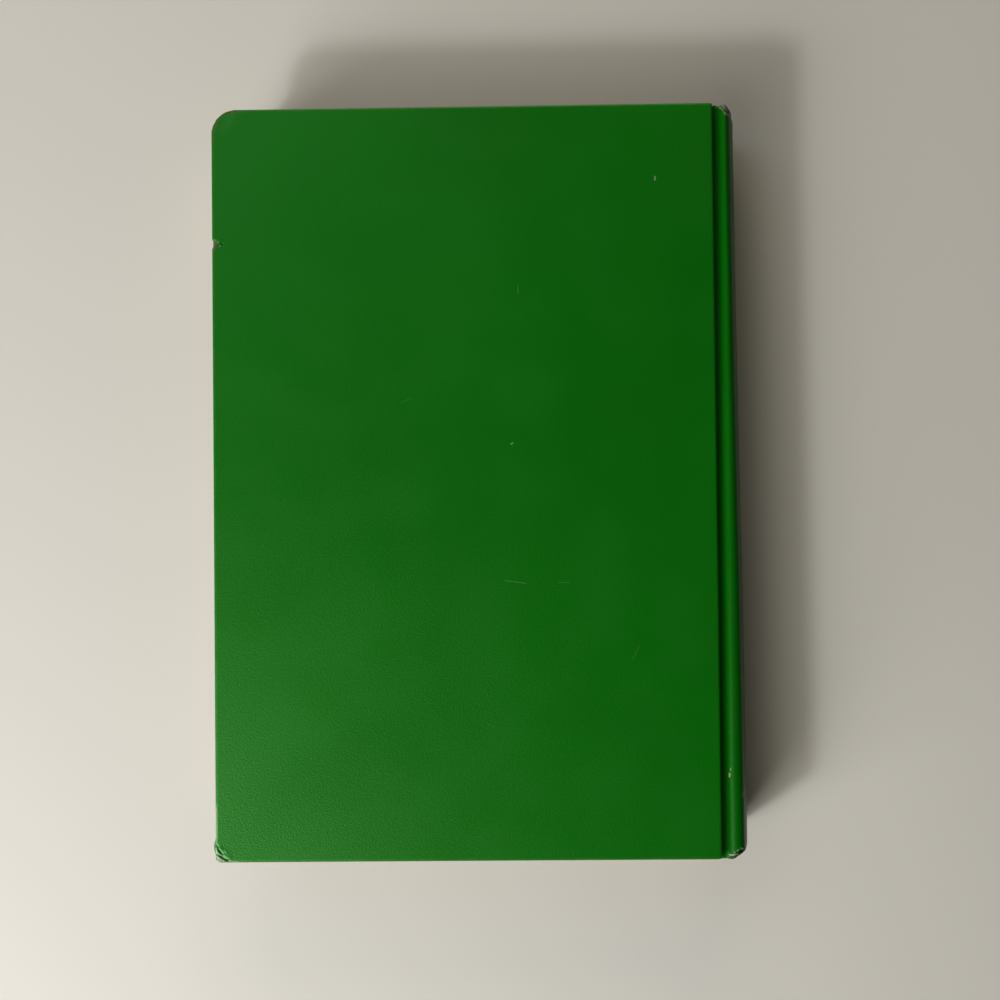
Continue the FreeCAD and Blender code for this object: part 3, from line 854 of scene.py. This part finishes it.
# x from the fore edge, y from the head, length, width, degrees, strength
face_marks = [
    (138.7, 23.6, 1.5, 0.42, 84, 0.50),
    (95.7, 57.9, 3.2, 0.22, 88, 0.13),
    (93.3, 105.8, 1.1, 0.40, 35, 0.38),
    (94.0, 148.8, 7.4, 0.22, -8, 0.14),
    (109.0, 149.1, 4.2, 0.20, 0, 0.09),
    (131.0, 171.0, 5.0, 0.22, 64, 0.07),
    (60.5, 92.0, 4.0, 0.20, 20, 0.06),
    (159.6, 209.2, 1.5, 0.34, 86, 0.60),
    (159.9, 207.4, 0.9, 0.26, 80, 0.50),
    (163.5, 215.1, 2.0, 0.35, 88, 0.30),
    # A painted highlight on the raised cloth beside the nick
    (2.75, 42.95, 0.6, 0.45, 0, 0.30),
    (0.30, 223.5, 13.5, 0.70, 90, 0.40),
    (0.50, 231.6, 3.4, 0.45, -80, 0.70),
    (1.40, 233.6, 3.2, 0.50, -35, 0.60),
    (3.10, 232.9, 3.0, 0.35, -32, 0.45),
    (5.50, 234.5, 3.5, 0.30, -4, 0.40),
]
# Painted shade: the two dents beside the nick and the cracks of the crushed tail corner
painted_shade_marks = [
    (1.95, 42.24, 1.1, 0.75, -15, 0.90),
    (3.27, 42.47, 0.6, 0.50, 10, 0.75),
    (1.60, 231.4, 2.3, 0.50, -57, 0.90),
    (2.20, 233.3, 4.0, 0.50, -31, 0.92),
    (0.90, 234.2, 1.6, 0.35, -50, 0.60),
]


def mark_mask(x, y, mark):
    """One short stroke: 1 along its middle, fading at its edges and ends."""
    from_fore, from_head, length, width, degrees, strength = mark
    turn = math.radians(degrees)
    over = x - (FORE + from_fore)
    up = y - (HEAD - from_head)
    along = over * math.cos(turn) + up * math.sin(turn)
    aside = up * math.cos(turn) - over * math.sin(turn)
    end = along.size().ramp(length * 0.35, length * 0.55, 1.0, 0.0)
    middle = aside.size().ramp(width * 0.3, width * 0.75, 1.0, 0.0)
    return end * middle * strength


def book_cloth(name, marks, worn_face, shine, shine_tint):
    finish = Finish(name)
    place = finish.rest_place()
    x, y, z = finish.axes(place)
    # Broad and fine variation of the dye
    broad = finish.noise(place, 45.0, 2.0, 0.5)
    fine = finish.noise(place, 1.1, 2.0, 0.6)
    colour = finish.mixed(broad.ramp(0.25, 0.75), GREEN_DARK, GREEN)
    colour = finish.mixed(fine.ramp(0.50, 0.85, 0.0, 0.05), colour, GREEN_WORN)
    # How far inside the cover's rim, and how far down its side
    height = (z - MIDDLE).size()
    inside = (x - FORE).smallest(HEAD - y.size())
    on_cover = x.ramp(JOINT - 0.2, JOINT + 0.1, 1.0, 0.0)
    side = height.ramp(MIDDLE - 1.0, MIDDLE - 0.12, 1.0, 0.0) * on_cover
    rim = inside.ramp(0.25, 1.5, 1.0, 0.0) * on_cover
    patches = finish.noise(place, 6.0, 4.0, 0.7, (11, 3, 5))
    specks = finish.noise(place, 0.55, 3.0, 0.7, (2, 7, 1))
    rubbed = rim * patches.ramp(0.42, 0.66) * specks.ramp(0.38, 0.62)
    colour = finish.mixed(side * 0.75, colour, RIM_OLIVE)
    colour = finish.mixed(rubbed * 0.55, colour, GREEN_WORN)
    bare = rim * patches.ramp(0.60, 0.72) * specks.ramp(0.55, 0.66)
    if worn_face:
        bare = bare.largest(worn_places(x, y, specks, patches))
    colour = finish.mixed(bare, colour, board_colour(finish, place))
    if worn_face:
        fibres = finish.noise(place, 0.7, 3.0, 0.7, (1, 1, 6))
        splinters = finish.mixed(fibres.ramp(0.38, 0.62), CRUSHED_DARK, CRUSHED_PALE)
        colour = finish.mixed(crushed_tip(x, y, specks), colour, splinters)
    # Painted shade in the dents beside the nick and in the cracks of the tail corner
    if marks:
        colour = finish.mixed(face_stroke_masks(x, y, z, painted_shade_marks), colour, PAINTED_SHADE_GREEN)
    # Painted shade: the back of the spine, past the joint, darkened by up to a quarter
    painted_spine_shade = x.ramp(JOINT + 1.0, JOINT + 3.5, 0.0, 0.25)
    colour = finish.mixed(painted_spine_shade, colour, PAINTED_SHADE_GREEN)
    # Painted shade in the gaps between torn threads and along the folded end at the tail
    pale, sunk = torn_edges(finish, x, y, place)
    colour = finish.mixed(sunk, colour, PAINTED_SHADE_GREEN)
    # Pale threads, chips and scratches, and one painted highlight beside the nick
    if marks:
        pale = pale.largest(face_stroke_masks(x, y, z, marks))
    colour = finish.mixed(pale, colour, PALE_FIBRE_AND_HIGHLIGHT)
    # The pebbled grain, finer than half a millimetre
    pebbles = finish.noise(place, 0.6, 1.0, 0.5, (5, 5, 0))
    weave = finish.noise(place, 0.25, 1.0, 0.5)
    relief = finish.bump(pebbles + weave * 0.5, 0.00008, 0.7)
    dull = finish.noise(place, 24.0, 1.0, 0.5, (4, 0, 8))
    gloss = dull.ramp(0.3, 0.7, 0.37, 0.42) + bare * 0.45 + rubbed * 0.15
    finish.wear(Base_Color=colour, Roughness=gloss, Normal=relief,
                Specular_IOR_Level=shine, Specular_Tint=shine_tint)
    return finish.material


def crushed_tip(x, y, specks):
    """The tail corner of the fore edge, beaten until its layers opened."""
    across = x - FORE
    above = y - TAIL
    tip = (across * across + above * above).power(0.5)
    return (tip + (specks - 0.5) * 2.0).ramp(2.4, 3.4, 1.0, 0.0)


def worn_places(x, y, specks, patches):
    """Bare board at the head corner, in the nick and along the tail edge."""
    across = x - FORE
    below = HEAD - y
    above = y - TAIL
    past_x = (HEAD_CORNER - across).largest(0.0)
    past_y = (HEAD_CORNER - below).largest(0.0)
    reach = (past_x * past_x + past_y * past_y).power(0.5)
    near_corner = (across + below).ramp(7.0, 14.0, 1.0, 0.0)
    arc = reach.ramp(HEAD_CORNER - 1.8, HEAD_CORNER - 0.8) * near_corner
    head_corner = arc * specks.ramp(0.38, 0.56) * 0.7
    along_head = (below - 1.7).size().ramp(0.2, 0.9, 1.0, 0.0)
    run = along_head * across.ramp(6.0, 8.5, 1.0, 0.0)
    head_specks = run * specks.ramp(0.52, 0.62) * 0.8
    ragged = (specks - 0.5) * 1.6
    nick_y = (y - NICK_Y + 0.7).size().ramp(1.3, 2.1, 1.0, 0.0)
    nick = nick_y * (across + ragged).ramp(0.9, 1.3, 1.0, 0.0)
    tail_edge = above.ramp(0.2, 0.9, 1.0, 0.0) * across.ramp(2.0, 14.0, 0.8, 0.0)
    tail_specks = tail_edge * patches.ramp(0.40, 0.60)
    return head_corner.largest(head_specks).largest(nick).largest(tail_specks)


def torn_edges(finish, x, y, place):
    """The pale threads at the torn head and the frayed tail, and painted shade in the gaps between
    threads and along the folded tail end.
    """
    past = x.ramp(JOINT + 1.0, JOINT + 1.6)
    over = x - (JOINT + 1.5)
    drop = over.ramp(0.2, 2.8, 0.3, 3.5)
    drawn_out = finish.stretched(place, (0.5, 1.0, 0.5))
    threads = finish.noise(drawn_out, 0.6, 3.0, 0.6, (3, 0, 0))
    tear = (HEAD - y - drop).ramp(0.3, 0.9, 1.0, 0.0) * past
    gap = y - TAIL - x.ramp(JOINT + 1.6, JOINT + 6.8, -0.3, 2.1)
    fray = gap.ramp(1.2, 2.3, 1.0, 0.0) * x.ramp(JOINT + 1.4, JOINT + 2.4)
    folded = gap.ramp(0.4, 1.0, 1.0, 0.0)
    torn = tear * threads.ramp(0.40, 0.60) * 0.55
    frayed = fray * (1 - folded * 0.85) * threads.ramp(0.46, 0.62) * 0.7
    gaps = threads.ramp(0.42, 0.52, 0.9, 0.0)
    # The second mask is painted shade: the folded tail end and the gaps between threads
    return torn.largest(frayed), fray * (folded * 0.7).largest(gaps)


def face_stroke_masks(x, y, z, marks):
    """All the short marks of a list on the upper face; the lists hold chips and scratches, one
    painted highlight, and painted shade in dents and cracks.
    """
    upper = z.ramp(MIDDLE + 2.0, MIDDLE + 4.0)
    masks = [mark_mask(x, y, mark) for mark in marks]
    total = masks[0]
    for mask in masks[1:]:
        total = total.largest(mask)
    return total * upper


def board_colour(finish, place):
    """Greyboard: short fibres, pale and dark, pressed together."""
    fibres = finish.noise(finish.stretched(place, (1.0, 0.35, 1.0)), 0.5, 4.0, 0.7)
    return finish.mixed(fibres.ramp(0.35, 0.65), BARE_DARK, BARE_BOARD)


SATIN = (0.62, (0.36, 1.0, 0.33))
DULL = (0.11, (0.60, 1.0, 0.55))
back_cloth = book_cloth("worn_green_cloth", face_marks, True, *SATIN)
front_cloth = book_cloth("green_cloth", [], False, *SATIN)
spine_cloth = book_cloth("green_spine_cloth", face_marks, False, *DULL)
back_case.data.materials.append(back_cloth)
front_case.data.materials.append(front_cloth)
for half in (back_case, front_case):
    half.data.materials.append(spine_cloth)
print("cloth has", len(back_cloth.node_tree.nodes), "nodes")

# %% [markdown]
# ### Board, card and lining
#
# Where the cloth is gone, the board shows as matted brown-grey fibre. The same
# finish serves for the boards, the card in the spine and its bare end, and a
# paler one serves for the paper that lines the back.

# %% Board and lining
GREYBOARD = ((0.055, 0.047, 0.024), (0.160, 0.135, 0.075))
SPINE_CARD = ((0.030, 0.035, 0.015), (0.150, 0.160, 0.090))
LINING_PAPER = ((0.36, 0.31, 0.22), (0.55, 0.49, 0.37))


def fibre_board(name, on_frame, dark, light, grain_size):
    finish = Finish(name)
    place = finish.own_place() if on_frame else finish.rest_place()
    fibres = finish.noise(finish.stretched(place, (1.0, 0.4, 1.0)), grain_size, 5.0, 0.72)
    broad = finish.noise(place, 6.0, 3.0, 0.6)
    colour = finish.mixed(fibres.ramp(0.33, 0.67), dark, light)
    colour = finish.mixed(broad.ramp(0.5, 0.8, 0.0, 0.35), colour, dark)
    relief = finish.bump(fibres, 0.00012, 0.8)
    finish.wear(Base_Color=colour, Roughness=fibres.ramp(0.0, 1.0, 0.82, 0.95), Normal=relief)
    return finish.material


board_finish = fibre_board("greyboard", True, *GREYBOARD, 0.6)
bare_finish = fibre_board("spine_card_fibre", False, *SPINE_CARD, 1.0)
lining_finish = fibre_board("lining_paper", True, *LINING_PAPER, 1.2)
for piece in spine_cards:
    piece.data.materials.append(bare_finish)


def dress(node, material):
    """Give a piece of the frame a finish in place of its plain one."""
    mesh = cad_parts[node].data
    mesh.materials.clear()
    mesh.materials.append(material)


for node in ("back_board", "front_board"):
    dress(node, board_finish)
dress("spine_lining", lining_finish)
print("board finish on", len(spine_cards), "cards of the spine and on both boards")

# %% [markdown]
# ### Paper
#
# Endpapers are a smooth cream sheet, a little browned towards its edges, with a
# few foxing spots. The edges of the leaves are the same paper seen end on: fine
# lines along the block, some paler, some darker, each gathering a shade apart.

# %% Endpapers and page edges
CREAM = (0.69, 0.62, 0.47)
CREAM_BROWNED = (0.52, 0.41, 0.26)
FOXED = (0.36, 0.22, 0.10)
EDGE_DARK = (0.33, 0.26, 0.165)
EDGE_PALE = (0.68, 0.60, 0.44)
EDGE_BROWNED = (0.45, 0.35, 0.21)
EDGE_DUSTY = (0.30, 0.23, 0.15)


def endpaper(name, on_frame):
    finish = Finish(name)
    place = finish.own_place() if on_frame else finish.rest_place()
    x, y, _ = finish.axes(place)
    edge = (HEAD - y.size()).smallest(x - FORE)
    cloud = finish.noise(place, 18.0, 4.0, 0.6)
    browned = edge.ramp(3.0, 20.0, 0.55, 0.0) * cloud.ramp(0.25, 0.75, 0.5, 1.2)
    pulp = finish.noise(place, 0.9, 4.0, 0.6)
    spots = finish.node("ShaderNodeTexVoronoi", {"feature": "F1"},
                        {"Vector": place, "Scale": 1 / 17.0}, output="Distance")
    foxing = spots.ramp(0.03, 0.075, 0.5, 0.0)
    colour = finish.mixed(browned + pulp * 0.08, CREAM, CREAM_BROWNED)
    colour = finish.mixed(foxing, colour, FOXED)
    relief = finish.bump(pulp, 0.00004, 0.6)
    finish.wear(Base_Color=colour, Roughness=pulp.ramp(0.0, 1.0, 0.72, 0.86), Normal=relief)
    return finish.material


def page_edges():
    finish = Finish("page_edges")
    place = finish.rest_place()
    drawn_out = finish.stretched(place, (0.0015, 0.0015, 1.0))
    lines = finish.noise(drawn_out, 0.15, 2.0, 0.7)
    bands = finish.noise(finish.stretched(place, (0.003, 0.003, 1.0)), 2.4, 1.0, 0.5)
    dust = finish.noise(place, 9.0, 4.0, 0.65)
    colour = finish.mixed(lines.ramp(0.30, 0.70), EDGE_DARK, EDGE_PALE)
    colour = finish.mixed(bands.ramp(0.40, 0.70, 0.0, 0.35), colour, EDGE_BROWNED)
    colour = finish.mixed(dust.ramp(0.50, 0.80, 0.0, 0.35), colour, EDGE_DUSTY)
    relief = finish.bump(lines, 0.0001, 0.9)
    finish.wear(Base_Color=colour, Roughness=lines.ramp(0.0, 1.0, 0.80, 0.92), Normal=relief)
    return finish.material


sheet_finish = endpaper("endpaper_sheet", False)
for piece in pastedowns:
    piece.data.materials.append(sheet_finish)
flyleaf_finish = endpaper("flyleaf_sheet", True)
for node in ("back_flyleaf", "front_flyleaf"):
    dress(node, flyleaf_finish)
leaves.data.materials.append(page_edges())

# %% [markdown]
# ### The bands
#
# A headband is thread wound over a core. Its turns run round the bead, so the
# stripes follow the angle about the middle of the spine.

# %% Thread on the headband and the tailband
THREAD_DARK = (0.30, 0.25, 0.15)
THREAD_PALE = (0.62, 0.56, 0.40)
STRANDS = 260.0


def wound_thread():
    finish = Finish("wound_thread")
    place = finish.own_place()
    x, _, z = finish.axes(place)
    angle = (z - MIDDLE).angle(x - spine_centre)
    strands = (angle * STRANDS).sine().ramp(-1.0, 1.0)
    colour = finish.mixed(strands, THREAD_DARK, THREAD_PALE)
    relief = finish.bump(strands, 0.0001, 0.9)
    finish.wear(Base_Color=colour, Roughness=strands.ramp(0.0, 1.0, 0.75, 0.6), Normal=relief)
    return finish.material


thread = wound_thread()
for node in ("headband", "tailband"):
    dress(node, thread)

# %% [markdown]
# ## The table and the light
#
# The floor is plain and pale, and lies a hair below the book, so that the face of
# an opened front cover doesn't share its plane. A window low on the left throws
# the book's shadow up and to the right, by almost its own thickness each way, so
# the lamp stands that way out, and its size gives the shadow its soft border. Four
# broad lamps stand for the rest of the room. The low one is the window's own wide
# glow, the two high ones give the soft sheen at the left corners of the cover, and
# the far wall fills the shadow above the head more than the one beside the spine.
# Their powers come from fitting the brightness of the bare table at some places.

# %% Lay the floor
FLOOR = (0.620, 0.603, 0.552)
FLOOR_HALF = 900.0
FLOOR_LEVEL = -0.1

floor_finish = Finish("pale_floor")
floor_finish.wear(Base_Color=FLOOR, Roughness=0.7, Specular_IOR_Level=0.2)
floor_places = np.array([(-1, -1, 0), (1, -1, 0), (1, 1, 0), (-1, 1, 0)], float) * FLOOR_HALF
floor_places[:, 2] = FLOOR_LEVEL
floor = new_piece("floor", floor_places, [(0, 1, 2, 3)])
floor.data.materials.append(floor_finish.material)


# %% Light it
WINDOW_DISTANCE = 900
WINDOW_SIDE = 112
ROOM_DISTANCE = 1100
ROOM_SIDE = 700

# name, direction, power, colour
room_lamps = [
    ("window_low", (-67, -67, 34), 10.1, (1.0, 0.99, 1.0)),
    ("window_high", (-50, -50, 71), 3.7, (1.0, 0.95, 0.82)),
    ("sky", (-50, 50, 71), 1.9, (0.85, 0.90, 1.0)),
    ("far_wall", (0, 94, 34), 4.4, (1.0, 0.90, 0.70)),
]


def area_light(name, direction, distance, side, power, colour):
    """A soft square lamp out along a direction, turned towards the book."""
    data = bpy.data.lights.new(name, "AREA")
    data.shape = "SQUARE"
    data.size = side * MM
    data.energy = power
    data.color = colour
    lamp = bpy.data.objects.new(name, data)
    away = Vector(direction).normalized()
    lamp.location = away * distance * MM
    lamp.rotation_euler = away.to_track_quat("Z", "Y").to_euler()
    bpy.context.scene.collection.objects.link(lamp)


area_light("window", (-25.3, -25.0, 27.0), WINDOW_DISTANCE, WINDOW_SIDE, 2.95, (0.97, 0.98, 1.0))
for lamp_name, direction, power, colour in room_lamps:
    area_light(lamp_name, direction, ROOM_DISTANCE, ROOM_SIDE, power, colour)

world = bpy.data.worlds.new("room_light")
world.use_nodes = True
background = world.node_tree.nodes["Background"]
background.inputs["Color"].default_value = (0.98, 0.97, 0.94, 1.0)
background.inputs["Strength"].default_value = 0.02
bpy.context.scene.world = world

bpy.context.scene.view_settings.view_transform = "Standard"
